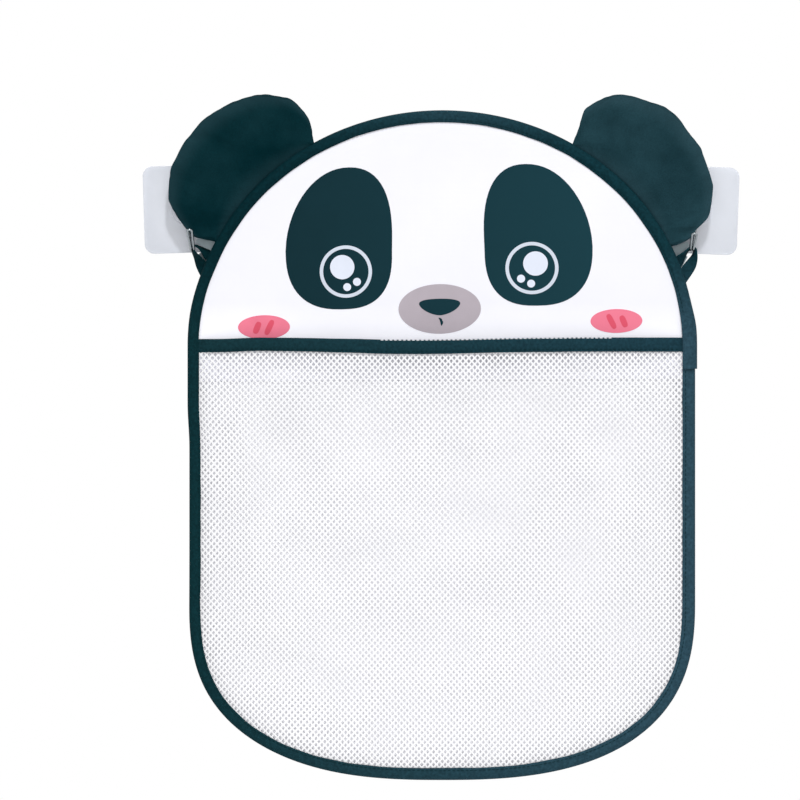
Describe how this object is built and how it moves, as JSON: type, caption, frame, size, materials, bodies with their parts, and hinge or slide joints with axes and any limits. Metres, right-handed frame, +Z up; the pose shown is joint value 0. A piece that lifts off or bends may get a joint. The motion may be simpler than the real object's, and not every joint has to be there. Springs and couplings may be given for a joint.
{
  "type": "bath toy organizer",
  "caption": "Wall-hung bath toy bag with an animal-head outline, padded ears and a bowed net pocket bound in tape, hung by strap loops on adhesive wire hooks.",
  "frame": {"origin": "on the wall, midway between the centres of the two hook pads", "axes": "+Z up, +X to the right as seen from the front, +Y into the wall; the front faces -Y"},
  "size_m": [0.3888, 0.0326, 0.4455],
  "materials": {
    "white_cloth": "smooth white woven cloth, printed on the head",
    "foam": "soft foam and wadding, hidden between the cloths",
    "tape": "dark woven binding tape",
    "net": "white knitted net",
    "ear_cloth": "dark soft brushed cloth",
    "adhesive": "clear adhesive layer",
    "film": "clear glossy film and moulded boss",
    "steel": "bright drawn wire"
  },
  "bodies": {
    "wall_hooks": {"left_adhesive": "adhesive", "left_pad": "film", "left_boss": "film", "left_hook": "steel", "right_adhesive": "adhesive", "right_pad": "film", "right_boss": "film", "right_hook": "steel"},
    "bag": {"back_panel": "white_cloth", "head_foam": "foam", "face_panel": "white_cloth", "edge_binding": "tape", "left_strap": "tape", "right_strap": "tape"},
    "pocket_front": {"mesh_pocket": "net", "mouth_binding": "tape"},
    "left_ear": {"left_ear_front": "ear_cloth", "left_ear_wadding": "foam", "left_ear_back": "ear_cloth"},
    "right_ear": {"right_ear_front": "ear_cloth", "right_ear_wadding": "foam", "right_ear_back": "ear_cloth"}
  },
  "joints": [
    {"name": "lift_off", "type": "slide", "parent": "wall_hooks", "child": "bag", "axis": [0, -0.5736, 0.8192], "range_m": [0, 0.06]},
    {"name": "pocket_open", "type": "hinge", "parent": "bag", "child": "pocket_front", "pos_m": [0, -0.0188, -0.3624], "axis": [1, 0, 0], "range_deg": [0, 14], "stiffness_Nm_per_rad": 0.4},
    {"name": "left_ear_fold", "type": "hinge", "parent": "bag", "child": "left_ear", "pos_m": [-0.12008, -0.0176, 0.01748], "axis": [0.7126, 0, 0.7016], "range_deg": [0, 25], "stiffness_Nm_per_rad": 0.08},
    {"name": "right_ear_fold", "type": "hinge", "parent": "bag", "child": "right_ear", "pos_m": [0.12008, -0.0176, 0.01748], "axis": [0.7126, 0, -0.7016], "range_deg": [0, 25], "stiffness_Nm_per_rad": 0.08}
  ]
}
